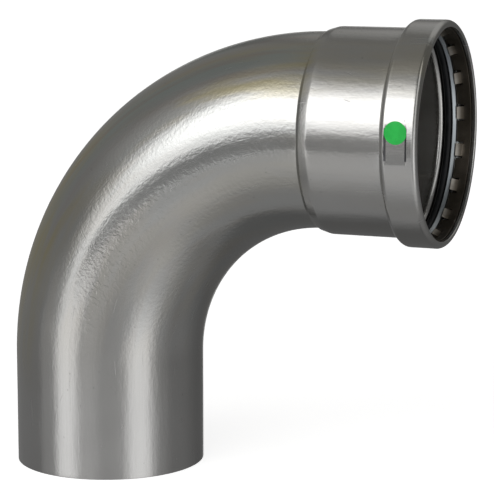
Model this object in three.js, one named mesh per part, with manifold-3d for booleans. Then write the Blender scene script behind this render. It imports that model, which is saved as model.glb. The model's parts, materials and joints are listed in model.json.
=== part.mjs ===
// A 90 degree stainless steel press elbow for 88.9 mm tube. One end is a plain spigot, the other a
// press socket whose bead holds a sealing element, a separator ring and a toothed grip ring.
//
// Frame: millimetres. The origin is the centre of the spigot's end face, +Z runs up the spigot's
// axis, and +X runs along the socket's axis, out of its mouth.

import * as THREE from 'three';
import { mergeVertices } from 'three/addons/utils/BufferGeometryUtils.js';
import Module from 'manifold-3d';

const { degToRad } = THREE.MathUtils;

// The tube and its bend
const TUBE_RADIUS = 88.9 / 2;
const WALL = 2;
const SPIGOT_STRAIGHT = 52;
const BEND_RADIUS = 109.7;
const BEND_LENGTH = BEND_RADIUS * Math.PI / 2;
const SOCKET_STRAIGHT = 55.6;
const MOUTH_X = BEND_RADIUS + SOCKET_STRAIGHT;
const AXIS_Z = SPIGOT_STRAIGHT + BEND_RADIUS;
const CENTRELINE_LENGTH = SPIGOT_STRAIGHT + BEND_LENGTH + SOCKET_STRAIGHT;
const CUT_EDGE = 0.3;

// The socket and its bead. A depth is measured inwards from the mouth
const SOCKET_RADIUS = 46.88;
const TAPER_DEPTHS = [50.4, 55.8];
const TAPER_ROUNDING = 3;
const BEAD_RADIUS = 50.7;
const CHAMBER_RADIUS = BEAD_RADIUS - WALL;
const SHOULDER_TOP_DEPTH = 16;
const SHOULDER_ANGLE = degToRad(75);
const SHOULDER_ROUNDING = 2.8;
const FOOT_ROUNDING = 0.8;
const MOUTH_ROUNDING = 2.4;
const LIP_RADIUS = 47.4;
const LIP_ROUNDING = 0.3;

// The loose pieces in the bead's chamber
const LOOSE_RING_RADIUS = CHAMBER_RADIUS - 0.3;
const GRIP_DEPTHS = [2.4, 8.9];
const GRIP_BORE = 47.1;
const TOOTH_PITCHES = 17;
const SPLIT_PITCH = 5;
const SPLIT_ANGLE = degToRad(5);
const FIRST_TOOTH_ANGLE = degToRad(-14.8);
const TOOTH_WIDTH = 6;
const TOOTH_ROOT_DEPTH = 6.1;
const TOOTH_TIP_RADIUS = 45.6;
const TOOTH_TIP_LAND = 0.6;
const TOOTH_EMBED = 0.6;
const SEPARATOR_DEPTHS = [9.2, 10.9];
const SEPARATOR_BORES = [46.2, 45.1];
const SEAL_DEPTHS = [11.2, 14.7];
const SEAL_BORE = 44.95;
const SEAL_ROUNDING = 1.45;

// The green mark, on a flat pad stamped in the bead's side
const PAD_ANGLE = degToRad(0.5);
const PAD_DISTANCE = 50;
const PAD_WIDTH = 10.6;
const MARK_DEPTH = 9.2;
const MARK_RADIUS = 5;
const MARK_OFFSET = 5.1;
const MARK_THICKNESS = 0.35;
const CLEARANCE = 0.3;

// How finely round shapes are divided
const TUBE_SEGMENTS = 48;
const BEND_STEPS = 16;
const ROUND_STEPS = 4;
const TIGHT_STEPS = 2;
const SAME_POINT = 1e-4;

const steel = new THREE.MeshStandardMaterial({ color: 0x9a9a96, roughness: 0.35, metalness: 1 });
const springSteel = new THREE.MeshStandardMaterial({ color: 0x5c5348, roughness: 0.4, metalness: 1 });
const plainSteel = new THREE.MeshStandardMaterial({ color: 0x8a9092, roughness: 0.35, metalness: 1 });
const rubber = new THREE.MeshStandardMaterial({ color: 0x0b1013, roughness: 0.5, metalness: 0 });
const greenInk = new THREE.MeshStandardMaterial({ color: 0x35a751, roughness: 0.5, metalness: 0 });

const wasm = await Module();
wasm.setup();

function toSolid(geometry) {
  const bare = geometry.clone();
  bare.deleteAttribute('normal');
  bare.deleteAttribute('uv');
  const merged = mergeVertices(bare, SAME_POINT);
  return new wasm.Manifold(new wasm.Mesh({
    numProp: 3,
    vertProperties: Float32Array.from(merged.attributes.position.array),
    triVerts: Uint32Array.from(merged.index.array),
  }));
}

function toGeometry(solid) {
  const { vertProperties, triVerts } = solid.getMesh();
  const geometry = new THREE.BufferGeometry();
  geometry.setAttribute('position', new THREE.BufferAttribute(vertProperties, 3));
  geometry.setIndex(new THREE.BufferAttribute(triVerts, 1));
  return geometry;
}

// The corner between two straight lines rounded by an arc, as points from the first line to the second
function roundedCorner(before, corner, after, radius, steps) {
  const back = before.clone().sub(corner).normalize();
  const onward = after.clone().sub(corner).normalize();
  const halfAngle = Math.acos(back.dot(onward)) / 2;
  const centre = back.clone().add(onward).setLength(radius / Math.sin(halfAngle)).add(corner);
  const from = back.multiplyScalar(radius / Math.tan(halfAngle)).add(corner).sub(centre);
  const to = onward.multiplyScalar(radius / Math.tan(halfAngle)).add(corner).sub(centre);
  const sweep = Math.atan2(from.cross(to), from.dot(to));
  const points = [];
  for (let i = 0; i <= steps; i += 1) {
    points.push(from.clone().rotateAround(new THREE.Vector2(), sweep * i / steps).add(centre));
  }
  return points;
}

// A closed outline of corners given as [radius, length along the axis, rounding, steps of the rounding]
function roundedOutline(corners) {
  const vectors = corners.map(([radius, along]) => new THREE.Vector2(radius, along));
  return corners.flatMap(([, , rounding, steps], i) => {
    if (!rounding) return [vectors[i]];
    return roundedCorner(vectors.at(i - 1), vectors[i], vectors[(i + 1) % vectors.length], rounding, steps);
  });
}

// Turns a profile, whose last point joins its first, round an axis that becomes +Z
function turned(profile) {
  const geometry = new THREE.LatheGeometry([...profile, profile[0]], TUBE_SEGMENTS);
  geometry.rotateX(Math.PI / 2);
  return geometry;
}

// Bends a straight tube that stands on the origin along +Z into the elbow's centreline
function bendToElbow(geometry) {
  const position = geometry.attributes.position;
  for (let i = 0; i < position.count; i += 1) {
    const outward = -position.getX(i);
    const along = position.getZ(i);
    const inBend = THREE.MathUtils.clamp(along - SPIGOT_STRAIGHT, 0, BEND_LENGTH);
    const angle = inBend / BEND_RADIUS;
    const reach = BEND_RADIUS + outward;
    const pastBend = Math.max(along - SPIGOT_STRAIGHT - BEND_LENGTH, 0);
    const x = BEND_RADIUS - reach * Math.cos(angle) + pastBend;
    const z = Math.min(along, SPIGOT_STRAIGHT) + reach * Math.sin(angle);
    position.setXYZ(i, x, position.getY(i), z);
  }
}

// The wall's outside and inside, as radius against length along the centreline
function elbowProfile() {
  const mouth = CENTRELINE_LENGTH;
  const slopeRun = (BEAD_RADIUS - SOCKET_RADIUS) / Math.tan(SHOULDER_ANGLE);
  const wallShift = WALL * Math.tan(SHOULDER_ANGLE / 2);
  const shoulderTop = mouth - SHOULDER_TOP_DEPTH;
  const foot = shoulderTop - slopeRun;
  const [taperEnd, taperStart] = TAPER_DEPTHS.map((depth) => mouth - depth);
  const bore = TUBE_RADIUS - WALL;
  const socketBore = SOCKET_RADIUS - WALL;

  const bendStops = [];
  for (let i = 0; i <= BEND_STEPS; i += 1) {
    const stop = SPIGOT_STRAIGHT + BEND_LENGTH * i / BEND_STEPS;
    if (stop < taperStart - TAPER_ROUNDING) bendStops.push(stop);
  }

  return roundedOutline([
    [TUBE_RADIUS - CUT_EDGE, 0],
    [TUBE_RADIUS, CUT_EDGE],
    ...bendStops.map((stop) => [TUBE_RADIUS, stop]),
    [TUBE_RADIUS, taperStart, TAPER_ROUNDING, TIGHT_STEPS],
    [SOCKET_RADIUS, taperEnd, TAPER_ROUNDING, TIGHT_STEPS],
    [SOCKET_RADIUS, foot, FOOT_ROUNDING, TIGHT_STEPS],
    [BEAD_RADIUS, shoulderTop, SHOULDER_ROUNDING, ROUND_STEPS],
    [BEAD_RADIUS, mouth, MOUTH_ROUNDING, ROUND_STEPS],
    [LIP_RADIUS, mouth, LIP_ROUNDING, TIGHT_STEPS],
    [LIP_RADIUS, mouth - WALL, LIP_ROUNDING, TIGHT_STEPS],
    [CHAMBER_RADIUS, mouth - WALL],
    [CHAMBER_RADIUS, shoulderTop + wallShift, SHOULDER_ROUNDING - WALL, TIGHT_STEPS],
    [socketBore, foot + wallShift, FOOT_ROUNDING + WALL, ROUND_STEPS],
    [socketBore, taperEnd, TAPER_ROUNDING, TIGHT_STEPS],
    [bore, taperStart, TAPER_ROUNDING, TIGHT_STEPS],
    ...bendStops.map((stop) => [bore, stop]).reverse(),
    [bore, CUT_EDGE],
    [bore + CUT_EDGE, 0],
  ]);
}

// A frame with +Z along the outward direction at an angle round the socket's axis, and +X along it
function placeOnBead(object, depth, angle) {
  const outward = new THREE.Vector3(0, -Math.cos(angle), Math.sin(angle));
  const alongAxis = new THREE.Vector3(1, 0, 0);
  const across = new THREE.Vector3().crossVectors(outward, alongAxis);
  const basis = new THREE.Matrix4().makeBasis(alongAxis, across, outward);
  object.quaternion.setFromRotationMatrix(basis);
  object.position.set(MOUTH_X - depth, 0, AXIS_Z);
  object.updateMatrixWorld(true);
}

function makeElbowBody() {
  const tube = turned(elbowProfile());
  bendToElbow(tube);

  const padCutter = new THREE.BoxGeometry(PAD_WIDTH, BEAD_RADIUS, WALL * 2);
  padCutter.translate(0, 0, PAD_DISTANCE + WALL);
  const place = new THREE.Object3D();
  placeOnBead(place, MARK_DEPTH, PAD_ANGLE);
  padCutter.applyMatrix4(place.matrixWorld);
  return toGeometry(toSolid(tube).subtract(toSolid(padCutter)));
}

// The ring pieces below are made round +Z, with the mouth at z = 0 and the socket at negative z

function makeGripRing() {
  const [frontDepth, backDepth] = GRIP_DEPTHS;
  const pitch = 2 * Math.PI / TOOTH_PITCHES;
  const splitCentre = FIRST_TOOTH_ANGLE + SPLIT_PITCH * pitch;
  const start = splitCentre + SPLIT_ANGLE / 2;
  const end = splitCentre - SPLIT_ANGLE / 2 + 2 * Math.PI;

  const band = new THREE.Shape();
  band.absarc(0, 0, LOOSE_RING_RADIUS, start, end, false);
  band.absarc(0, 0, GRIP_BORE, end, start, true);
  const bandSolid = new THREE.ExtrudeGeometry(band, {
    depth: backDepth - frontDepth,
    bevelEnabled: false,
    curveSegments: TUBE_SEGMENTS,
  });
  bandSolid.translate(0, 0, -backDepth);

  // The tooth's outline is drawn as radius against depth, and extruded over the tooth's width
  const tooth = new THREE.Shape([
    new THREE.Vector2(GRIP_BORE + TOOTH_EMBED, TOOTH_ROOT_DEPTH),
    new THREE.Vector2(GRIP_BORE - TOOTH_EMBED / 2, TOOTH_ROOT_DEPTH),
    new THREE.Vector2(TOOTH_TIP_RADIUS, backDepth - TOOTH_TIP_LAND),
    new THREE.Vector2(TOOTH_TIP_RADIUS, backDepth),
    new THREE.Vector2(GRIP_BORE + TOOTH_EMBED, backDepth),
  ]);
  const toothSolid = new THREE.ExtrudeGeometry(tooth, { depth: TOOTH_WIDTH, bevelEnabled: false });
  toothSolid.translate(0, 0, -TOOTH_WIDTH / 2);
  toothSolid.rotateX(-Math.PI / 2);

  let ring = toSolid(bandSolid);
  for (let i = 0; i < TOOTH_PITCHES; i += 1) {
    if (i !== SPLIT_PITCH) {
      const copy = toothSolid.clone().rotateZ(FIRST_TOOTH_ANGLE + i * pitch);
      ring = ring.add(toSolid(copy));
    }
  }
  return toGeometry(ring);
}

function makeSeparatorRing() {
  const [frontDepth, backDepth] = SEPARATOR_DEPTHS;
  const [frontBore, backBore] = SEPARATOR_BORES;
  return turned(roundedOutline([
    [frontBore, -frontDepth],
    [backBore, -backDepth + CUT_EDGE],
    [backBore + CUT_EDGE, -backDepth],
    [LOOSE_RING_RADIUS, -backDepth],
    [LOOSE_RING_RADIUS, -frontDepth],
  ]));
}

// A moulded ring of a nearly round section
function makeSealingElement() {
  const [frontDepth, backDepth] = SEAL_DEPTHS;
  return turned(roundedOutline([
    [SEAL_BORE, -backDepth, SEAL_ROUNDING, ROUND_STEPS],
    [LOOSE_RING_RADIUS, -backDepth, SEAL_ROUNDING, ROUND_STEPS],
    [LOOSE_RING_RADIUS, -frontDepth, SEAL_ROUNDING, ROUND_STEPS],
    [SEAL_BORE, -frontDepth, SEAL_ROUNDING, ROUND_STEPS],
  ]));
}

function makeGreenMark() {
  const disc = new THREE.CylinderGeometry(MARK_RADIUS, MARK_RADIUS, MARK_THICKNESS, TUBE_SEGMENTS / 2);
  disc.rotateX(Math.PI / 2);
  disc.translate(0, MARK_OFFSET, PAD_DISTANCE + CLEARANCE + MARK_THICKNESS / 2);
  return disc;
}

function named(name, geometry, material) {
  const mesh = new THREE.Mesh(geometry, material);
  mesh.name = name;
  return mesh;
}

const elbow = new THREE.Group();
elbow.add(named('elbow_body', makeElbowBody(), steel));

const chamber = new THREE.Group();
chamber.position.set(MOUTH_X, 0, AXIS_Z);
chamber.quaternion.setFromRotationMatrix(new THREE.Matrix4().makeBasis(
  new THREE.Vector3(0, 1, 0),
  new THREE.Vector3(0, 0, 1),
  new THREE.Vector3(1, 0, 0),
));
chamber.add(named('grip_ring', makeGripRing(), springSteel));
chamber.add(named('separator_ring', makeSeparatorRing(), plainSteel));
chamber.add(named('sealing_element', makeSealingElement(), rubber));
elbow.add(chamber);

const mark = named('green_mark', makeGreenMark(), greenInk);
placeOnBead(mark, MARK_DEPTH, PAD_ANGLE);
elbow.add(mark);

export default elbow;
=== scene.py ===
"""The looks of a stainless steel press elbow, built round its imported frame. Lengths are in metres.

The steel is made as the real one is: a straight tube is turned with its socket and bead, then bent.
The loose rings are made round the socket's axis, with depths measured inwards from the mouth.
"""

import json
import math

import bmesh
import bpy
from mathutils import Matrix, Vector, noise


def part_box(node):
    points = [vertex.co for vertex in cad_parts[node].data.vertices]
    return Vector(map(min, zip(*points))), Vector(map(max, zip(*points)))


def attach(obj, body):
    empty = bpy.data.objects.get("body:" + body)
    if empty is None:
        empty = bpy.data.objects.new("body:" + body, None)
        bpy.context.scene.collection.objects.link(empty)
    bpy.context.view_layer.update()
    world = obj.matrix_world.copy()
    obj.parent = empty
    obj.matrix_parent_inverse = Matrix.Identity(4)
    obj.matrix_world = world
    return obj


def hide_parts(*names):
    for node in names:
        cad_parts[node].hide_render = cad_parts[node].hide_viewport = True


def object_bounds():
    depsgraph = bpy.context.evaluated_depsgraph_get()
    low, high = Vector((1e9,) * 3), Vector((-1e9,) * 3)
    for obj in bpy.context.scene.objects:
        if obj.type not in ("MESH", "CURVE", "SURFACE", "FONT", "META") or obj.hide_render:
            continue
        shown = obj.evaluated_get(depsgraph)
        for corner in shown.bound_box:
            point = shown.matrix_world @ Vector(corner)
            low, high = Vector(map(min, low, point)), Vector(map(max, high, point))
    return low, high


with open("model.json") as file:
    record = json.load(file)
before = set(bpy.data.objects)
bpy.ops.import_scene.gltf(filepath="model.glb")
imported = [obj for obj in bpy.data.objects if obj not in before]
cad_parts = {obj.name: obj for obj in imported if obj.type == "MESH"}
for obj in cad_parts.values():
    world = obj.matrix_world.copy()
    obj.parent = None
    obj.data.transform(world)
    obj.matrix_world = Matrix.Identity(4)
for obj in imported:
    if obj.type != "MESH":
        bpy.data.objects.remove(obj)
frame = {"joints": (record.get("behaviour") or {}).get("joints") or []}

MM = 0.001
CAD_LOW, CAD_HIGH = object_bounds()

# ---------------------------------------------------------------- sizes, from the frame
# The spigot stands on the origin along +Z, and the socket's axis runs along +X at the joints' height.
TUBE_RADIUS = -CAD_LOW.x
MOUTH_X = CAD_HIGH.x
AXIS_Z = frame["joints"][0]["pos_m"][2]
BEAD_RADIUS = CAD_HIGH.z - AXIS_Z
GRIP_LOW, GRIP_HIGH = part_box("grip_ring")
SEPARATOR_LOW, SEPARATOR_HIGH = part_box("separator_ring")
SEAL_LOW, SEAL_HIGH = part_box("sealing_element")
MARK_LOW, MARK_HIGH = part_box("green_mark")
RING_RADIUS = SEPARATOR_HIGH.z - AXIS_Z

# The body's wall. Depths along the socket are measured inwards from the mouth.
WALL = 2 * MM
SPIGOT_STRAIGHT = 52 * MM
BEND_RADIUS = AXIS_Z - SPIGOT_STRAIGHT
BEND_LENGTH = BEND_RADIUS * math.pi / 2
CENTRELINE_LENGTH = SPIGOT_STRAIGHT + BEND_LENGTH + MOUTH_X - BEND_RADIUS

SOCKET_RADIUS = 46.88 * MM
TAPER_END, TAPER_START = 50.4 * MM, 55.8 * MM
TAPER_STEP, TAPER_STEP_LENGTH = 1.3 * MM, 1.4 * MM
SHOULDER_TOP = 16 * MM
SHOULDER_ANGLE = math.radians(75)
LIP_RADIUS = 47.4 * MM
CHAMBER_RADIUS = BEAD_RADIUS - WALL

# The flat pad stamped into the near side of the bead, the painted shade on its side walls, and the spot
# printed on it
PAD_ANGLE = math.radians(0.5)
PAD_DISTANCE = 50 * MM
PAD_FLAT_HALF = 4.6 * MM
PAD_SLOPE = 0.5 * MM
PAD_WALL_HALF = 7 * MM
PAD_SHADE_REACH = 0.5 * MM
MARK_DEPTH = MOUTH_X - (MARK_LOW.x + MARK_HIGH.x) / 2
MARK_RADIUS = (MARK_HIGH.x - MARK_LOW.x) / 2
MARK_OFFSET = 5.1 * MM

# The weld inside the tube, and the slight waves of formed tube outside it
SEAM_ANGLE = math.radians(-31)
SEAM_WIDTH = 0.9 * MM
SEAM_HEIGHT = 0.22 * MM
LONG_WAVE = 0.07 * MM
LONG_WAVES_PER_METRE = 16
SHORT_WAVE = 0.035 * MM
SHORT_WAVES_PER_METRE = 65

# Where the heat colours and the scuffs lie round the tube: 90 degrees is outside the bend, 180 the near side
STRAW_ANGLE = math.radians(135)
TEAL_ANGLE = math.radians(117)
BROWN_ANGLE = math.radians(122)
HEAT_REACH = 19 * MM
SCUFF_ANGLE = math.pi + 0.2
SCUFF_REACH, SCUFF_CORE = 9 * MM, 4 * MM

# The rings in the bead's chamber; the grip ring has a tongue at every pitch but the one where it is split
RING_SIDES = 256
SEAL_BORE = 44.95 * MM
SEPARATOR_BORES = (46.2 * MM, 45.15 * MM)
GRIP_BORE = 47.1 * MM
TONGUE_TIP_RADIUS = 45.6 * MM
TONGUE_TIP_THICKNESS = 0.8 * MM
TONGUE_ROOT_DEPTH = 5.7 * MM
TONGUE_HALF = 3 * MM / GRIP_BORE
NOTCH_HALF = 3.9 * MM / GRIP_BORE
TONGUE_PITCHES = 17
SPLIT_PITCH = 5
SPLIT_HALF = math.radians(2.5)
FIRST_TONGUE_ANGLE = math.radians(-14.8)


def depth(x):
    """How far inside the mouth a place on the socket's axis is."""
    return MOUTH_X - x


# ---------------------------------------------------------------- mesh helpers
def rounded(corners, step=math.radians(8)):
    """Points of a closed outline of (radius, along, rounding) corners, with each rounding as an arc."""
    points = [Vector(c[:2]) for c in corners]
    outline = []
    for i, corner in enumerate(corners):
        radius = corner[2] if len(corner) > 2 else 0
        here = points[i]
        if not radius:
            outline.append(here)
            continue
        back = (points[i - 1] - here).normalized()
        onward = (points[(i + 1) % len(points)] - here).normalized()
        half = back.angle(onward) / 2
        centre = here + (back + onward).normalized() * radius / math.sin(half)
        start = here + back * radius / math.tan(half) - centre
        sweep = start.angle_signed(here + onward * radius / math.tan(half) - centre)
        count = max(2, math.ceil(abs(sweep) / step))
        for k in range(count + 1):
            turn = Matrix.Rotation(-sweep * k / count, 2)
            outline.append(centre + turn @ start)
    return outline


def divided(outline, longest):
    """The closed outline with extra points, so that no side is longer than longest(along)."""
    result = []
    for i, here in enumerate(outline):
        onward = outline[(i + 1) % len(outline)]
        length = (onward - here).length
        count = max(1, math.ceil(length / longest((here.y + onward.y) / 2)))
        result += [here.lerp(onward, k / count) for k in range(count)]
    return result


def even_angles(count):
    return [2 * math.pi * i / count for i in range(count)]


def finished(name, mesh, material, smooth_angle=math.radians(40)):
    """An object of this mesh, smooth but for the edges that are sharper than the angle."""
    obj = bpy.data.objects.new(name, mesh)
    bpy.context.scene.collection.objects.link(obj)
    mesh.materials.append(material)
    mesh.polygons.foreach_set("use_smooth", [True] * len(mesh.polygons))
    mesh.set_sharp_from_angle(angle=smooth_angle)
    return obj


def revolve(name, outline, angles, place, material):
    """A closed ring of the outline (radius, along) swept through angles; place gives each point its position.

    The UV map holds metres: u along the tube, and v round it from the weld seam, at the spigot's radius.
    """
    mesh = bpy.data.meshes.new(name)
    rows, columns = len(outline), len(angles)
    points = [place(p.x, p.y, a) for p in outline for a in angles]
    faces = []
    uvs = []
    full_turn = 2 * math.pi
    for i in range(rows):
        below, above = i, (i + 1) % rows
        for j in range(columns):
            left, right = j, (j + 1) % columns
            faces.append((
                below * columns + left,
                below * columns + right,
                above * columns + right,
                above * columns + left,
            ))
            v_left = (angles[left] - SEAM_ANGLE) % full_turn * TUBE_RADIUS
            v_right = v_left + (angles[right] - angles[left]) % full_turn * TUBE_RADIUS
            u_below, u_above = outline[below].y, outline[above].y
            uvs += [(u_below, v_left), (u_below, v_right), (u_above, v_right), (u_above, v_left)]
    mesh.from_pydata(points, [], faces)
    layer = mesh.uv_layers.new(name="metres")
    layer.data.foreach_set("uv", [value for uv in uvs for value in uv])
    bm = bmesh.new()
    bm.from_mesh(mesh)
    bmesh.ops.recalc_face_normals(bm, faces=bm.faces)
    bm.to_mesh(mesh)
    bm.free()
    return finished(name, mesh, material)


def on_axis(radius, along, angle):
    """A point round the socket's axis; along is minus the depth, and angle 0 is away from the mark."""
    return Vector((MOUTH_X + along, radius * math.cos(angle), AXIS_Z + radius * math.sin(angle)))


# ---------------------------------------------------------------- the bent tube
def elbow_outline():
    """The section of the wall: outside it from the spigot to the mouth, then inside it back again."""
    mouth = CENTRELINE_LENGTH
    taper_start, taper_end = mouth - TAPER_START, mouth - TAPER_END
    shoulder_top = mouth - SHOULDER_TOP
    foot = shoulder_top - (BEAD_RADIUS - SOCKET_RADIUS) / math.tan(SHOULDER_ANGLE)
    wall_shift = WALL * math.tan(SHOULDER_ANGLE / 2)
    bore = TUBE_RADIUS - WALL
    socket_bore = SOCKET_RADIUS - WALL
    cut_edge, lip_front, lip_back = 0.3 * MM, 0.6 * MM, 0.4 * MM
    bead_front, bead_back, inner_corner = 2.4 * MM, 2.8 * MM, 0.8 * MM
    step_foot, step_top, taper_top, taper_inside = 1 * MM, 1.2 * MM, 5 * MM, 3 * MM
    return rounded([
        (TUBE_RADIUS, 0, cut_edge),
        (TUBE_RADIUS, taper_start, step_foot),
        (TUBE_RADIUS + TAPER_STEP, taper_start + TAPER_STEP_LENGTH, step_top),
        (SOCKET_RADIUS, taper_end, taper_top),
        (SOCKET_RADIUS, foot, inner_corner),
        (BEAD_RADIUS, shoulder_top, bead_back),
        (BEAD_RADIUS, mouth, bead_front),
        (LIP_RADIUS, mouth, lip_front),
        (LIP_RADIUS, mouth - WALL, lip_back),
        (CHAMBER_RADIUS, mouth - WALL, cut_edge),
        (CHAMBER_RADIUS, shoulder_top + wall_shift, inner_corner),
        (socket_bore, foot + wall_shift, bead_back),
        (socket_bore, taper_end, taper_inside),
        (bore, taper_start, taper_inside),
        (bore, 0, cut_edge),
    ])


def bent(radius, along, angle):
    """A point of the straight tube, carried onto the elbow's centreline. Angle 0 is the far side, +Y."""
    outward = radius * math.sin(angle)
    in_bend = min(max(along - SPIGOT_STRAIGHT, 0), BEND_LENGTH)
    turn = in_bend / BEND_RADIUS
    reach = BEND_RADIUS + outward
    past_bend = max(along - SPIGOT_STRAIGHT - BEND_LENGTH, 0)
    return Vector((
        BEND_RADIUS - reach * math.cos(turn) + past_bend,
        radius * math.cos(angle),
        min(along, SPIGOT_STRAIGHT) + reach * math.sin(turn),
    ))


def pad_floor(place):
    """How far out of the axis the stamped pad's floor lies; past its slopes it clears the bead."""
    beyond_flat = abs(place.x - (MOUTH_X - MARK_DEPTH)) - PAD_FLAT_HALF
    clear_of_bead = 1.5
    climb = min(max(beyond_flat / PAD_SLOPE, 0), clear_of_bead)
    return PAD_DISTANCE + (BEAD_RADIUS - PAD_DISTANCE) * climb * climb * (3 - climb) / 2


def out_of_axis(place, outward):
    """How far a place lies from the socket's axis in this direction."""
    return place.y * outward.y + (place.z - AXIS_Z) * outward.z


def pad_outward():
    return Vector((0, -math.cos(PAD_ANGLE), math.sin(PAD_ANGLE)))


def pressed(place):
    """The place pressed in to the pad's floor, where it stands proud of it."""
    outward = pad_outward()
    blend = 0.12 * MM
    proud = out_of_axis(place, outward) - pad_floor(place)
    if proud < -blend:
        return place
    if proud < blend:
        drop = (proud + blend) ** 2 / (4 * blend)
    else:
        drop = proud
    return place - outward * drop


def middle_of_wall(from_mouth):
    """The radius half-way through the steel, behind the bead."""
    share = (TAPER_START - from_mouth) / (TAPER_START - TAPER_END)
    return TUBE_RADIUS + (SOCKET_RADIUS - TUBE_RADIUS) * min(max(share, 0), 1) - WALL / 2


def elbow_place(radius, along, angle):
    """A point of the elbow's skin, with its seam, its pad and the slight waviness of formed tube."""
    from_mouth = CENTRELINE_LENGTH - along
    place = bent(radius, along, angle)
    if from_mouth < SHOULDER_TOP + 2 * MM:
        return pressed(place) if place.y < 0 and radius > LIP_RADIUS else place
    if radius < middle_of_wall(from_mouth):
        off_seam = (angle - SEAM_ANGLE + math.pi) % (2 * math.pi) - math.pi
        seam = math.exp(-(off_seam * TUBE_RADIUS / SEAM_WIDTH) ** 2)
        return bent(radius - SEAM_HEIGHT * seam, along, angle)
    wave = LONG_WAVE * (1 + noise.noise(place * LONG_WAVES_PER_METRE))
    wave += SHORT_WAVE * (1 + noise.noise(place * SHORT_WAVES_PER_METRE))
    return bent(radius - wave / 2, along, angle)


def on_pad_wall(place):
    """1 on the stamped pad's two short side walls and in their corners, where shade is painted, and 0
    elsewhere.
    """
    aside = abs(place.x - (MOUTH_X - MARK_DEPTH))
    outward = pad_outward()
    from_middle = abs(place.y * outward.z - (place.z - AXIS_Z) * outward.y)
    beside = PAD_FLAT_HALF - PAD_SHADE_REACH < aside < PAD_FLAT_HALF + PAD_SLOPE
    on_bead = out_of_axis(place, outward) > PAD_DISTANCE - PAD_SHADE_REACH
    return float(beside and from_middle < PAD_WALL_HALF and on_bead)


def elbow_angles():
    """Even steps round the tube, with finer ones across the pad and the seam."""
    coarse_count = 180
    pad_step, pad_steps = math.radians(0.25), 44
    seam_step, seam_steps = math.radians(0.35), 12
    apart = math.radians(0.12)
    angles = set(even_angles(coarse_count))
    pad_middle = math.pi - PAD_ANGLE
    for i in range(-pad_steps, pad_steps + 1):
        angles.add(pad_middle + pad_step * i)
    for i in range(-seam_steps, seam_steps + 1):
        angles.add((SEAM_ANGLE + seam_step * i) % (2 * math.pi))
    ordered = sorted(angles)
    kept = [ordered[0]]
    for angle in ordered[1:]:
        if angle - kept[-1] > apart:
            kept.append(angle)
    return kept


def longest_side(along):
    """How long a side of the outline may be: short across the bead, which the pad is pressed into."""
    on_bead, elsewhere = 0.2 * MM, 2 * MM
    return on_bead if CENTRELINE_LENGTH - along < SHOULDER_TOP else elsewhere


def is_bore(point):
    """1 on the rough inside of the tube, and 0 outside it and on the rolled rim before the seal."""
    from_mouth = CENTRELINE_LENGTH - point.y
    return float(point.x < middle_of_wall(from_mouth) and from_mouth > SHOULDER_TOP + 2 * MM)


def make_elbow(material):
    outline = divided(elbow_outline(), longest_side)
    angles = elbow_angles()
    elbow = revolve("elbow_skin", outline, angles, elbow_place, material)
    bore = elbow.data.attributes.new("bore", "FLOAT", "POINT")
    inside = [is_bore(p) for p in outline for _ in angles]
    bore.data.foreach_set("value", inside)
    wall = elbow.data.attributes.new("pad_wall", "FLOAT", "POINT")
    wall.data.foreach_set("value", [on_pad_wall(vertex.co) for vertex in elbow.data.vertices])
    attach(elbow, "elbow")
    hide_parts("elbow_body")
    return elbow


# ---------------------------------------------------------------- the pieces in the bead's chamber
def make_seal(material):
    """A moulded ring: a round front that seals on the tube, and a flat back against the separator ring."""
    front, back = depth(SEAL_HIGH.x), depth(SEAL_LOW.x)
    sealing_face, outer_back, outer_front = 1.6 * MM, 1.2 * MM, 0.8 * MM
    outline = rounded([
        (SEAL_BORE, -back, sealing_face),
        (RING_RADIUS, -back, outer_back),
        (RING_RADIUS, -front, outer_front),
        (SEAL_BORE, -front, sealing_face),
    ], step=math.radians(10))
    seal = revolve("seal_ring", outline, even_angles(RING_SIDES), on_axis, material)
    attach(seal, "elbow")
    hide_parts("sealing_element")
    return seal


def make_separator(material):
    """A coned ring whose bore narrows towards the seal and ends in a small step."""
    front, back = depth(SEPARATOR_HIGH.x), depth(SEPARATOR_LOW.x)
    wide, narrow = SEPARATOR_BORES
    step_depth, step_height = 0.35 * MM, 0.15 * MM
    sheared, worn, step_edge, outer_edge = 0.12 * MM, 0.25 * MM, 0.08 * MM, 0.1 * MM
    outline = rounded([
        (wide, -front, sheared),
        (narrow, step_depth - back, worn),
        (narrow + step_height, -back, step_edge),
        (RING_RADIUS, -back, outer_edge),
        (RING_RADIUS, -front, outer_edge),
    ], step=math.radians(20))
    ring = revolve("separator_band", outline, even_angles(RING_SIDES), on_axis, material)
    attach(ring, "separator")
    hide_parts("separator_ring")
    return ring


def grip_angles():
    """The angles that divide the grip ring, each with what lies after it: band, notch, tongue or split."""
    pitch = 2 * math.pi / TONGUE_PITCHES
    stops = []
    for k in range(TONGUE_PITCHES):
        middle = FIRST_TONGUE_ANGLE + k * pitch
        if k == SPLIT_PITCH:
            edges = [(middle - SPLIT_HALF, "split", 1), (middle + SPLIT_HALF, "band", 12)]
        else:
            edges = [
                (middle - NOTCH_HALF, "notch", 1),
                (middle - TONGUE_HALF, "tongue", 4),
                (middle + TONGUE_HALF, "notch", 1),
                (middle + NOTCH_HALF, "band", 8),
            ]
        leaves_off = middle + pitch - (SPLIT_HALF if k + 1 == SPLIT_PITCH else NOTCH_HALF)
        ends = [edge[0] for edge in edges[1:]] + [leaves_off]
        for (start, kind, count), end in zip(edges, ends):
            stops += [(start + (end - start) * i / count, kind) for i in range(count)]
    return stops


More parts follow.
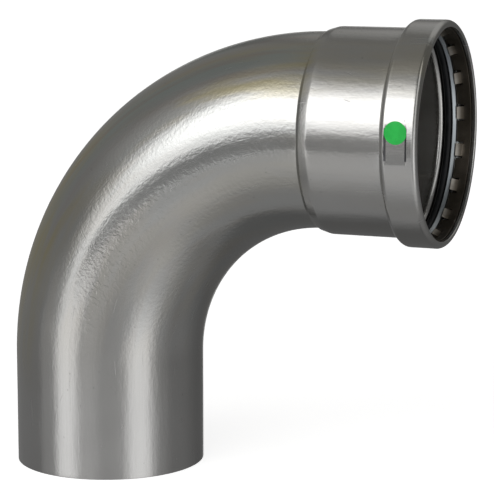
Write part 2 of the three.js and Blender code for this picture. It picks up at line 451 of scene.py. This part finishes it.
def make_grip_ring(material):
    """A split band with tongues cut from its back half and bent in towards the tube."""
    front, back = depth(GRIP_HIGH.x), depth(GRIP_LOW.x)
    tongue_rows, curl = 6, 1.25
    tongue_length = back - TONGUE_ROOT_DEPTH
    depths = [front, (front + TONGUE_ROOT_DEPTH) / 2]
    root_row = len(depths)
    depths += [TONGUE_ROOT_DEPTH + tongue_length * i / tongue_rows for i in range(tongue_rows + 1)]
    stops = grip_angles()
    columns, rows = len(stops), len(depths)

    def is_solid(i, j):
        if not 0 <= j < rows - 1:
            return False
        kind = stops[i % columns][1]
        return kind in ("band", "tongue") or (kind == "notch" and j < root_row)

    def bent_in(i, j):
        on_tongue = "tongue" in (stops[i % columns][1], stops[i - 1][1])
        share = (depths[j] - TONGUE_ROOT_DEPTH) / tongue_length
        return max(share, 0) ** curl if on_tongue else 0

    bm = bmesh.new()
    made = {}
    tongue_layer = bm.verts.layers.float.new("tongue")
    uv_layer = bm.loops.layers.uv.new("metres")

    def vertex(i, j, outer):
        key = (i % columns, j, outer)
        if key not in made:
            share = bent_in(i, j)
            inner_radius = GRIP_BORE + (TONGUE_TIP_RADIUS - GRIP_BORE) * share
            thickness = (RING_RADIUS - GRIP_BORE) * (1 - share) + TONGUE_TIP_THICKNESS * share
            radius = inner_radius + (thickness if outer else 0)
            made[key] = bm.verts.new(on_axis(radius, -depths[j], stops[i % columns][0]))
            made[key][tongue_layer] = share
        return made[key]

    def quad(*corners):
        face = bm.faces.new([vertex(*corner) for corner in corners])
        for loop, (i, j, outer) in zip(face.loops, corners):
            turn = stops[i % columns][0] + (2 * math.pi if i >= columns else 0)
            loop[uv_layer].uv = (depths[j], turn * RING_RADIUS)

    for i in range(columns):
        for j in range(rows - 1):
            if not is_solid(i, j):
                continue
            quad((i, j, True), (i + 1, j, True), (i + 1, j + 1, True), (i, j + 1, True))
            quad((i, j + 1, False), (i + 1, j + 1, False), (i + 1, j, False), (i, j, False))
            if not is_solid(i, j - 1):
                quad((i, j, False), (i + 1, j, False), (i + 1, j, True), (i, j, True))
            if not is_solid(i, j + 1):
                quad((i, j + 1, True), (i + 1, j + 1, True), (i + 1, j + 1, False), (i, j + 1, False))
            if not is_solid(i - 1, j):
                quad((i, j, True), (i, j + 1, True), (i, j + 1, False), (i, j, False))
            if not is_solid(i + 1, j):
                quad((i + 1, j, False), (i + 1, j + 1, False), (i + 1, j + 1, True), (i + 1, j, True))

    bmesh.ops.recalc_face_normals(bm, faces=bm.faces)
    mesh = bpy.data.meshes.new("grip_band")
    bm.to_mesh(mesh)
    bm.free()
    ring = finished("grip_band", mesh, material)
    edges = ring.modifiers.new("edges", "BEVEL")
    edges.width = 0.14 * MM
    edges.segments = 2
    edges.limit_method = "ANGLE"
    edges.angle_limit = math.radians(50)
    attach(ring, "grip")
    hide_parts("grip_ring")
    return ring


# ---------------------------------------------------------------- the printed spot
def make_mark(material):
    """A spot of ink that lies on the pad's floor and runs up its slopes."""
    outward = pad_outward()
    across = Vector((1, 0, 0))
    upward = across.cross(outward) * -1
    axis_point = Vector((MOUTH_X - MARK_DEPTH, 0, AXIS_Z))
    lift, thickness = 0.02 * MM, 0.06 * MM
    rings, spokes = 24, 96
    raggedness, rags_round = 0.012, 4

    def on_pad(x, up, height):
        bead_height = math.sqrt(BEAD_RADIUS ** 2 - up ** 2)
        place = pressed(axis_point + across * x + upward * up + outward * bead_height)
        return place + outward * height

    bm = bmesh.new()

    def face_of_ink(height):
        circles = [[bm.verts.new(on_pad(0, MARK_OFFSET, height))]]
        for ring in range(1, rings + 1):
            rho = MARK_RADIUS * ring / rings
            circle = []
            for spoke in range(spokes):
                angle = 2 * math.pi * spoke / spokes
                heading = Vector((math.cos(angle), math.sin(angle), 0))
                ragged = 1 + raggedness * noise.noise(heading * rags_round) * ring / rings
                x, up = rho * ragged * heading.x, rho * ragged * heading.y
                circle.append(bm.verts.new(on_pad(x, MARK_OFFSET + up, height)))
            circles.append(circle)
        for i in range(spokes):
            bm.faces.new((circles[0][0], circles[1][i], circles[1][(i + 1) % spokes]))
        for inner, outer in zip(circles[1:], circles[2:]):
            for i in range(spokes):
                after = (i + 1) % spokes
                bm.faces.new((inner[i], outer[i], outer[after], inner[after]))
        return circles[-1]

    below, above = face_of_ink(lift), face_of_ink(lift + thickness)
    for i in range(spokes):
        after = (i + 1) % spokes
        bm.faces.new((below[i], below[after], above[after], above[i]))
    bmesh.ops.recalc_face_normals(bm, faces=bm.faces)
    mesh = bpy.data.meshes.new("green_spot")
    bm.to_mesh(mesh)
    bm.free()
    spot = finished("green_spot", mesh, material)
    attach(spot, "elbow")
    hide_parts("green_mark")
    return spot


# ---------------------------------------------------------------- node helpers
def plug(tree, socket, value):
    """Sets an input to a number or a colour, or links it to an output."""
    if isinstance(value, bpy.types.NodeSocket):
        tree.links.new(value, socket)
    else:
        socket.default_value = value


def add(tree, kind, inputs=None, **settings):
    """A new node with these settings and these inputs, by name or by number."""
    made = tree.nodes.new(kind)
    for name, value in settings.items():
        setattr(made, name, value)
    for key, value in (inputs or {}).items():
        plug(tree, made.inputs[key], value)
    return made


def sums(tree, operation, *values):
    """The result of a Math node."""
    return add(tree, "ShaderNodeMath", dict(enumerate(values)), operation=operation).outputs[0]


def spread(tree, value, low, high, to_low=0.0, to_high=1.0, curve="SMOOTHSTEP"):
    """The value moved from one range to another, held at the ends."""
    ranges = {"Value": value, "From Min": low, "From Max": high, "To Min": to_low, "To Max": to_high}
    return add(tree, "ShaderNodeMapRange", ranges, interpolation_type=curve).outputs["Result"]


def blended(tree, factor, first, second):
    """Two colours mixed by a factor; the numbers are the Mix node's own sockets for colours."""
    return add(tree, "ShaderNodeMix", {0: factor, 6: first, 7: second}, data_type="RGBA").outputs[2]


def tinted(tree, mask, share, colour, tint):
    """The colour with this share of a tint where the mask is 1."""
    return blended(tree, sums(tree, "MULTIPLY", mask, share), colour, tint)


def new_group(name, inputs, outputs):
    """An empty shader node group, with the sockets inside it; inputs are (name, number)."""
    tree = bpy.data.node_groups.new(name, "ShaderNodeTree")
    for label, number in inputs:
        socket = tree.interface.new_socket(label, in_out="INPUT", socket_type="NodeSocketFloat")
        socket.default_value = number
    for label in outputs:
        tree.interface.new_socket(label, in_out="OUTPUT", socket_type="NodeSocketFloat")
    return tree, tree.nodes.new("NodeGroupInput").outputs, tree.nodes.new("NodeGroupOutput").inputs


def placed(tree, group, **inputs):
    """A copy of a group in a material; an input's name is written with _ for a space."""
    made = tree.nodes.new("ShaderNodeGroup")
    made.node_tree = group
    for name, value in inputs.items():
        plug(tree, made.inputs[name.replace("_", " ")], value)
    return made.outputs[0]


def along_and_round(tree, along, around):
    """The metres map, scaled by so many noise cells per metre along the tube and round it."""
    scale = add(tree, "ShaderNodeCombineXYZ", {0: along, 1: around}).outputs[0]
    metres = add(tree, "ShaderNodeUVMap", uv_map="metres").outputs[0]
    return add(tree, "ShaderNodeVectorMath", {0: metres, 1: scale}, operation="MULTIPLY").outputs[0]


# ---------------------------------------------------------------- effects that materials share
def grain_group():
    """Fine lines left by drawing or rolling."""
    tree, given, result = new_group("drawn lines", [("Along", 12), ("Around", 2500)], ["Lines"])
    settings = {
        "Vector": along_and_round(tree, given["Along"], given["Around"]),
        "Scale": 1.0,
        "Detail": 3.0,
        "Roughness": 0.6,
    }
    plug(tree, result["Lines"], add(tree, "ShaderNodeTexNoise", settings).outputs[0])
    return tree


def scratch_group():
    """Thin scratches that lie at an angle to the tube."""
    inputs = [("Turn", 0.3), ("Along", 60), ("Across", 1800), ("Amount", 0.3)]
    tree, given, result = new_group("scratches", inputs, ["Scratch"])
    metres = add(tree, "ShaderNodeUVMap", uv_map="metres").outputs[0]
    turning = {"Vector": metres, "Angle": given["Turn"]}
    turned = add(tree, "ShaderNodeVectorRotate", turning, rotation_type="Z_AXIS").outputs[0]
    scale = add(tree, "ShaderNodeCombineXYZ", {0: given["Along"], 1: given["Across"]}).outputs[0]
    vector = add(tree, "ShaderNodeVectorMath", {0: turned, 1: scale}, operation="MULTIPLY").outputs[0]
    lines = add(tree, "ShaderNodeTexNoise", {"Vector": vector, "Scale": 1.0, "Detail": 1.0}).outputs[0]
    rarest, spread_of_amount, edge = 0.9, 0.3, 0.05
    low = sums(tree, "SUBTRACT", rarest, sums(tree, "MULTIPLY", given["Amount"], spread_of_amount))
    plug(tree, result["Scratch"], spread(tree, lines, low, sums(tree, "ADD", low, edge)))
    return tree


def patch_group():
    """Soft-edged patches, as handling and heat leave them."""
    inputs = [("Per Metre", 30), ("From", 0.5), ("To", 0.7), ("Seed", 0)]
    tree, given, result = new_group("patches", inputs, ["Patch"])
    place = add(tree, "ShaderNodeTexCoord").outputs["Object"]
    shift = add(tree, "ShaderNodeCombineXYZ", {0: given["Seed"], 2: given["Seed"]}).outputs[0]
    vector = add(tree, "ShaderNodeVectorMath", {0: place, 1: shift}, operation="ADD").outputs[0]
    settings = {"Vector": vector, "Scale": given["Per Metre"], "Detail": 3.0, "Distortion": 0.3}
    patches = add(tree, "ShaderNodeTexNoise", settings).outputs[0]
    plug(tree, result["Patch"], spread(tree, patches, given["From"], given["To"]))
    return tree


def speckle_group():
    """Small specks and pits of uneven size."""
    tree, given, result = new_group("specks", [("Per Metre", 900), ("Amount", 0.4)], ["Speck"])
    place = add(tree, "ShaderNodeTexCoord").outputs["Object"]
    cells = add(tree, "ShaderNodeTexVoronoi", {"Vector": place, "Scale": given["Per Metre"]})
    share = add(tree, "ShaderNodeSeparateColor", {0: cells.outputs["Color"]}).outputs[0]
    chosen = sums(tree, "LESS_THAN", share, given["Amount"])
    smallest, largest, solid_part = 0.12, 0.45, 0.6
    size = spread(tree, share, 0.0, given["Amount"], smallest, largest, "LINEAR")
    speck = spread(tree, cells.outputs["Distance"], size, sums(tree, "MULTIPLY", size, solid_part))
    plug(tree, result["Speck"], sums(tree, "MULTIPLY", speck, chosen))
    return tree


def edge_group():
    """Where an edge stands out and has been rubbed."""
    tree, given, result = new_group("rubbed edges", [("From", 0.52), ("To", 0.6)], ["Edge"])
    pointed = add(tree, "ShaderNodeNewGeometry").outputs["Pointiness"]
    plug(tree, result["Edge"], spread(tree, pointed, given["From"], given["To"]))
    return tree


GRAIN = grain_group()
SCRATCHES = scratch_group()
PATCHES = patch_group()
SPECKS = speckle_group()
EDGES = edge_group()


def new_material(name):
    """A material, its tree and its shader."""
    material = bpy.data.materials.new(name)
    material.use_nodes = True
    return material, material.node_tree, material.node_tree.nodes["Principled BSDF"]


def bumped(tree, height, distance, under=None):
    """A normal raised by a height from 0 to 1, over another normal."""
    inputs = {"Height": height, "Distance": distance, "Strength": 1.0}
    if under is not None:
        inputs["Normal"] = under
    return add(tree, "ShaderNodeBump", inputs).outputs["Normal"]


def by_lines(tree, lines, smooth, rough):
    """A roughness that follows the drawn lines, whose noise lies mostly between these two numbers."""
    low, high = 0.3, 0.7
    return spread(tree, lines, low, high, smooth, rough, "LINEAR")


# ---------------------------------------------------------------- the materials
def stainless_tube():
    """Drawn stainless tube: fine lines along it, nicks, painted shade on the pad's side walls, and heat
    colours on the bend.
    """
    material, tree, shader = new_material("stainless_tube")
    dull, bright = (0.565, 0.56, 0.55, 1), (0.605, 0.60, 0.59, 1)
    nicked, painted_shade = (0.30, 0.29, 0.28, 1), (0.10, 0.10, 0.11, 1)
    ripple_height, peel_height, line_height = 0.09 * MM, 0.022 * MM, 0.0018 * MM
    scuff_height, dent_depth = 0.035 * MM, 0.012 * MM

    lines = placed(tree, GRAIN, Along=14.0, Around=2600.0)
    ripples = placed(tree, GRAIN, Along=45.0, Around=190.0)
    streaks = placed(tree, GRAIN, Along=7.0, Around=85.0)
    broad_streaks = placed(tree, GRAIN, Along=9.0, Around=48.0)
    cloud = placed(tree, PATCHES, Per_Metre=22.0, From=0.35, To=0.7)
    handled = placed(tree, PATCHES, Per_Metre=30.0, From=0.52, To=0.66, Seed=11.0)
    long_scratch = placed(tree, SCRATCHES, Turn=0.06, Along=35.0, Across=1300.0, Amount=0.56)
    short_scratch = placed(tree, SCRATCHES, Turn=-0.35, Along=150.0, Across=900.0, Amount=0.66)
    specks = placed(tree, SPECKS, Per_Metre=800.0, Amount=0.02)
    peel = placed(tree, PATCHES, Per_Metre=650.0, From=0.3, To=0.7, Seed=3.0)
    crumbs = placed(tree, PATCHES, Per_Metre=420.0, From=0.5, To=0.62, Seed=5.0)
    bore = add(tree, "ShaderNodeAttribute", attribute_name="bore").outputs["Fac"]
    pad_wall = add(tree, "ShaderNodeAttribute", attribute_name="pad_wall").outputs["Fac"]

    metres = add(tree, "ShaderNodeUVMap", uv_map="metres").outputs[0]
    run, around, _ = add(tree, "ShaderNodeSeparateXYZ", {0: metres}).outputs
    bend_end = SPIGOT_STRAIGHT + BEND_LENGTH
    warmed = spread(tree, run, SPIGOT_STRAIGHT / 2, SPIGOT_STRAIGHT + BEND_LENGTH / 3)
    cooler = spread(tree, run, bend_end, CENTRELINE_LENGTH - TAPER_END, 1.0, 0.3)
    heated = sums(tree, "MULTIPLY", warmed, cooler)

    def off_line(angle):
        """How far round the tube a place is from the line at this angle."""
        return sums(tree, "ABSOLUTE", sums(tree, "SUBTRACT", around, (angle - SEAM_ANGLE) * TUBE_RADIUS))

    def coloured(mask, angle):
        """The mask on the heated part, and stronger near this angle round the tube."""
        faint, full = 0.15, 1.0
        near = spread(tree, off_line(angle), HEAT_REACH, HEAT_REACH / 3, faint, full)
        return sums(tree, "MULTIPLY", sums(tree, "MULTIPLY", mask, heated), near)

    straw = coloured(spread(tree, broad_streaks, 0.4, 0.6), STRAW_ANGLE)
    teal = coloured(spread(tree, broad_streaks, 0.55, 0.4), TEAL_ANGLE)
    brown = coloured(spread(tree, streaks, 0.46, 0.62), BROWN_ANGLE)
    scuffs = sums(tree, "MULTIPLY", short_scratch, handled)
    scratches = sums(tree, "MAXIMUM", long_scratch, scuffs)

    steel = blended(tree, cloud, dull, bright)
    steel = tinted(tree, straw, 0.75, steel, (0.62, 0.55, 0.28, 1))
    steel = tinted(tree, teal, 0.5, steel, (0.44, 0.55, 0.50, 1))
    steel = tinted(tree, brown, 0.45, steel, (0.55, 0.44, 0.38, 1))
    steel = tinted(tree, sums(tree, "MAXIMUM", specks, scuffs), 0.3, steel, nicked)
    # Painted shade: the pad's side walls and their corners are darkened in the base colour
    steel = tinted(tree, pad_wall, 0.85, steel, painted_shade)
    plug(tree, shader.inputs["Base Color"], steel)
    shader.inputs["Metallic"].default_value = 1.0

    rough = by_lines(tree, lines, 0.13, 0.21)
    for mask, rougher in ((bore, 0.16), (cloud, 0.04), (scratches, 0.12)):
        rough = sums(tree, "ADD", rough, sums(tree, "MULTIPLY", mask, rougher))
    plug(tree, shader.inputs["Roughness"], rough)

    # The band along the near side of the bend where handling has roughened the polish
    band = spread(tree, off_line(SCUFF_ANGLE), SCUFF_REACH, SCUFF_CORE)
    fades_in = spread(tree, run, SPIGOT_STRAIGHT, SPIGOT_STRAIGHT + BEND_LENGTH / 4)
    fades_out = spread(tree, run, bend_end, SPIGOT_STRAIGHT + BEND_LENGTH / 2)
    band = sums(tree, "MULTIPLY", sums(tree, "MULTIPLY", band, fades_in), fades_out)

    # Drawing leaves ripples along the tube, and stretching leaves a fine peel, mostly on the bend
    stretched = spread(tree, heated, 0.0, 1.0, 0.25, 1.0, "LINEAR")
    normal = bumped(tree, ripples, ripple_height)
    normal = bumped(tree, sums(tree, "MULTIPLY", peel, stretched), peel_height, under=normal)
    normal = bumped(tree, lines, line_height, under=normal)
    normal = bumped(tree, sums(tree, "MULTIPLY", crumbs, band), scuff_height, under=normal)
    dents = sums(tree, "MAXIMUM", scratches, specks)
    plug(tree, shader.inputs["Normal"], bumped(tree, dents, -dent_depth, under=normal))
    return material


def spring_steel():
    """Brown heat-treated spring steel, with a painted highlight on its tongues and its edges rubbed bright.
    """
    material, tree, shader = new_material("spring_steel")
    dark_brown, light_brown = (0.125, 0.108, 0.085, 1), (0.19, 0.165, 0.135, 1)
    oily, bare = (0.05, 0.045, 0.04, 1), (0.55, 0.52, 0.47, 1)
    line_height, pit_depth = 0.004 * MM, 0.01 * MM
    lines = placed(tree, GRAIN, Along=900.0, Around=30.0)
    cloud = placed(tree, PATCHES, Per_Metre=90.0, From=0.35, To=0.7)
    specks = placed(tree, SPECKS, Per_Metre=1500.0, Amount=0.35)
    edges = placed(tree, EDGES, From=0.54, To=0.66)
    tongue = add(tree, "ShaderNodeAttribute", attribute_name="tongue").outputs["Fac"]
    uneven = spread(tree, cloud, 0.0, 1.0, 0.55, 1.0)
    # Painted highlight: the tongues are lightened towards bare steel; only the rubbed edges are real wear
    rubbed = sums(tree, "MULTIPLY", spread(tree, tongue, 0.15, 0.8), uneven)
    rubbed = sums(tree, "MAXIMUM", rubbed, sums(tree, "MULTIPLY", edges, 0.5))

    steel = blended(tree, cloud, dark_brown, light_brown)
    steel = tinted(tree, specks, 0.5, steel, oily)
    steel = blended(tree, rubbed, steel, bare)
    plug(tree, shader.inputs["Base Color"], steel)
    shader.inputs["Metallic"].default_value = 1.0
    plug(tree, shader.inputs["Roughness"], by_lines(tree, lines, 0.32, 0.44))
    normal = bumped(tree, lines, line_height)
    plug(tree, shader.inputs["Normal"], bumped(tree, specks, -pit_depth, under=normal))
    return material


def separator_steel():
    """Satin blue-grey steel strip with lines rolled round it."""
    material, tree, shader = new_material("separator_steel")
    dull, bright, bare = (0.42, 0.46, 0.49, 1), (0.50, 0.54, 0.56, 1), (0.68, 0.69, 0.69, 1)
    line_height = 0.004 * MM
    lines = placed(tree, GRAIN, Along=3200.0, Around=25.0)
    cloud = placed(tree, PATCHES, Per_Metre=60.0, From=0.35, To=0.7)
    edges = placed(tree, EDGES, From=0.52, To=0.6)
    steel = blended(tree, cloud, dull, bright)
    plug(tree, shader.inputs["Base Color"], tinted(tree, edges, 0.6, steel, bare))
    shader.inputs["Metallic"].default_value = 1.0
    plug(tree, shader.inputs["Roughness"], by_lines(tree, lines, 0.24, 0.36))
    plug(tree, shader.inputs["Normal"], bumped(tree, lines, line_height))
    return material


def seal_rubber():
    """Black moulded rubber with a slight bloom."""
    material, tree, shader = new_material("seal_rubber")
    black, bloomed, dusty = (0.006, 0.007, 0.008, 1), (0.016, 0.018, 0.021, 1), (0.03, 0.032, 0.036, 1)
    pimple_height = 0.01 * MM
    cloud = placed(tree, PATCHES, Per_Metre=120.0, From=0.35, To=0.75)
    specks = placed(tree, SPECKS, Per_Metre=2600.0, Amount=0.3)
    rubber = blended(tree, cloud, black, bloomed)
    plug(tree, shader.inputs["Base Color"], tinted(tree, specks, 0.4, rubber, dusty))
    shader.inputs["Specular IOR Level"].default_value = 0.4
    plug(tree, shader.inputs["Roughness"], spread(tree, cloud, 0.0, 1.0, 0.38, 0.52, "LINEAR"))
    plug(tree, shader.inputs["Normal"], bumped(tree, specks, pimple_height))
    return material


def green_ink():
    """A thick pad-printed green, with pinholes and a little unevenness."""
    material, tree, shader = new_material("green_ink")
    deep, light, thin = (0.02, 0.55, 0.08, 1), (0.028, 0.62, 0.095, 1), (0.02, 0.3, 0.06, 1)
    pinhole_depth = 0.02 * MM
    cloud = placed(tree, PATCHES, Per_Metre=240.0, From=0.35, To=0.7)
    pinholes = placed(tree, SPECKS, Per_Metre=1900.0, Amount=0.12)
    ink = blended(tree, cloud, deep, light)
    plug(tree, shader.inputs["Base Color"], tinted(tree, pinholes, 0.6, ink, thin))
    shader.inputs["Specular IOR Level"].default_value = 0.3
    plug(tree, shader.inputs["Roughness"], spread(tree, cloud, 0.0, 1.0, 0.42, 0.55, "LINEAR"))
    plug(tree, shader.inputs["Normal"], bumped(tree, pinholes, -pinhole_depth))
    return material


# ---------------------------------------------------------------- light, floor and camera
def panel_group():
    """How much of a soft-edged panel lies in a direction, all in degrees."""
    inputs = [("Azimuth", 0), ("Elevation", 0), ("Middle Azimuth", 0), ("Half Width", 20)]
    inputs += [("Side Softness", 10), ("Middle Elevation", 0), ("Half Height", 20), ("Top Softness", 10)]
    tree, given, result = new_group("soft panel", inputs, ["Light"])
    aside = sums(tree, "SUBTRACT", given["Azimuth"], given["Middle Azimuth"])
    aside = sums(tree, "ABSOLUTE", sums(tree, "WRAP", aside, 180.0, -180.0))
    above = sums(tree, "ABSOLUTE", sums(tree, "SUBTRACT", given["Elevation"], given["Middle Elevation"]))
    edge = sums(tree, "ADD", given["Half Width"], given["Side Softness"])
    across = spread(tree, aside, edge, given["Half Width"])
    edge = sums(tree, "ADD", given["Half Height"], given["Top Softness"])
    upright = spread(tree, above, edge, given["Half Height"])
    plug(tree, result["Light"], sums(tree, "MULTIPLY", across, upright))
    return tree


# Each panel: middle azimuth, half width and softness, the same for elevation, in degrees, and its radiance.
# Azimuth 0 is towards -Y, and azimuth 90 towards +X. key_strip and rear_box were set one by one. The other
# ten panels and AMBIENT weren't: they are another program's least-squares fit, rounded.
PANELS = {
    "key": (-14, 22, 23, 25, 3, 31, 1.9),
    "key_strip": (-31, 10, 10, -8, 9, 5, 0.5),
    "overhead": (-36, 20, 40, 44, 2, 32, 0.26),
    "front_wall": (-18, 11, 26, -24, 3, 40, 0.3),
    "left_wall": (-86, 58, 6, 32, 37, 40, 0.09),
    "left_low": (-47, 19, 7, -18, 9, 13, 0.11),
    "front_floor": (-30, 63, 50, -66, 14, 31, 0.15),
    "right_side": (60, 5, 20, 20, 37, 33, 0.6),
    "right_low": (43, 18, 50, -27, 16, 32, 0.24),
    "right_rear": (91, 25, 50, -56, 30, 35, 0.09),
    "rear_low": (-160, 7, 8, -3, 13, 3, 0.33),
    "rear_box": (172, 22, 22, 46, 12, 22, 0.3),
}
AMBIENT = 0.115


def make_studio():
    """A dim room with soft bright panels; the camera itself sees plain white behind the floor."""
    world = bpy.data.worlds.new("studio")
    bpy.context.scene.world = world
    world.use_nodes = True
    tree = world.node_tree
    direction = add(tree, "ShaderNodeTexCoord").outputs["Generated"]
    part = add(tree, "ShaderNodeSeparateXYZ", {0: direction}).outputs
    to_degrees = 180 / math.pi
    azimuth = sums(tree, "ARCTAN2", part["X"], sums(tree, "MULTIPLY", part["Y"], -1.0))
    azimuth = sums(tree, "MULTIPLY", azimuth, to_degrees)
    elevation = sums(tree, "MULTIPLY", sums(tree, "ARCSINE", part["Z"]), to_degrees)
    panel = panel_group()
    light = AMBIENT
    for middle, half_width, side, height, half_height, top, radiance in PANELS.values():
        share = placed(
            tree, panel, Azimuth=azimuth, Elevation=elevation, Middle_Azimuth=middle, Half_Width=half_width,
            Side_Softness=side, Middle_Elevation=height, Half_Height=half_height, Top_Softness=top,
        )
        light = sums(tree, "ADD", sums(tree, "MULTIPLY", share, radiance), light)
    seen = add(tree, "ShaderNodeLightPath").outputs["Is Camera Ray"]
    background = tree.nodes["Background"]
    light = sums(tree, "MAXIMUM", light, seen)
    plug(tree, background.inputs["Strength"], light)
    # The room's dim walls are slightly warm, and its lights and its floor are white
    warm, white = (1, 0.995, 0.975, 1), (1, 1, 1, 1)
    on_panel = spread(tree, light, 0.3, 0.8)
    on_floor = spread(tree, elevation, 0.0, -20.0)
    colour = blended(tree, sums(tree, "MAXIMUM", on_panel, on_floor), warm, white)
    plug(tree, background.inputs["Color"], colour)


def make_floor():
    """A pale floor that only the camera sees, with a faint shadow; the room's light passes through it."""
    half = 20
    mesh = bpy.data.meshes.new("floor")
    corners = [(-half, -half, 0), (half, -half, 0), (half, half, 0), (-half, half, 0)]
    mesh.from_pydata(corners, [], [(0, 1, 2, 3)])
    material, _, shader = new_material("pale_floor")
    shader.inputs["Base Color"].default_value = (0.7, 0.7, 0.7, 1)
    shader.inputs["Roughness"].default_value = 1.0
    shader.inputs["Specular IOR Level"].default_value = 0.0
    shader.inputs["Emission Color"].default_value = (1, 1, 1, 1)
    shader.inputs["Emission Strength"].default_value = 0.78
    floor = finished("floor", mesh, material)
    floor.location.z = CAD_LOW.z
    floor.visible_glossy = False
    floor.visible_diffuse = False
    floor.visible_shadow = False


def make_grey_card():
    """A grey card in front of the socket: its reflection is the soft dark line under the bright band.

    It stands full height before the socket and tapers to a strip towards the bend, and only gloss sees it.
    Its grey is lighter at the top, where it blends into the bright band, and a little lighter at the foot.
    """
    distance = 0.467
    right, middle, left = 0.14, -0.06, -0.3
    low, high = 0, 0.215
    strip_low, strip_high = 0.045, 0.08
    corners = [(right, low), (middle, low), (left, strip_low)]
    corners += [(left, strip_high), (middle, high), (right, high)]
    mesh = bpy.data.meshes.new("grey_card")
    mesh.from_pydata([(x, -distance, z) for x, z in corners], [], [tuple(range(len(corners)))])
    material, tree, shader = new_material("grey_card")
    place = add(tree, "ShaderNodeTexCoord").outputs["Object"]
    height = add(tree, "ShaderNodeSeparateXYZ", {0: place}).outputs["Z"]
    card_grey = spread(tree, height, 0.11, 0.18, 0.23, 0.34)
    at_top = spread(tree, height, 0.17, high, 0.0, 0.85)
    at_foot = spread(tree, height, 0.05, 0.0, 0.0, 0.12)
    glow = sums(tree, "ADD", sums(tree, "ADD", card_grey, at_top), at_foot)
    colour = add(tree, "ShaderNodeCombineColor", {0: glow, 1: glow, 2: glow}).outputs[0]
    shader.inputs["Base Color"].default_value = (0, 0, 0, 1)
    shader.inputs["Specular IOR Level"].default_value = 0.0
    shader.inputs["Emission Strength"].default_value = 1.0
    plug(tree, shader.inputs["Emission Color"], colour)
    card = finished("grey_card", mesh, material)
    card.visible_camera = False
    card.visible_diffuse = False
    card.visible_shadow = False


def make_camera():
    """A long lens from the front right, a little above the socket."""
    aim_shift = Vector((8.5, 2.7, -0.9)) * MM
    camera = bpy.data.objects.new("camera", bpy.data.cameras.new("camera"))
    bpy.context.scene.collection.objects.link(camera)
    # The lens, its place and its aim are a least-squares fit, rounded
    camera.data.lens = 156.6
    camera.data.sensor_width = 36
    camera.location = (0.4211, -0.9148, 0.2670)
    aim = (CAD_LOW + CAD_HIGH) / 2 + aim_shift
    camera.rotation_euler = (aim - camera.location).to_track_quat("-Z", "Y").to_euler()
    bpy.context.scene.camera = camera


make_elbow(stainless_tube())
make_seal(seal_rubber())
make_separator(separator_steel())
make_grip_ring(spring_steel())
make_mark(green_ink())
make_studio()
make_floor()
make_grey_card()
make_camera()
bpy.context.scene.view_settings.view_transform = "Standard"
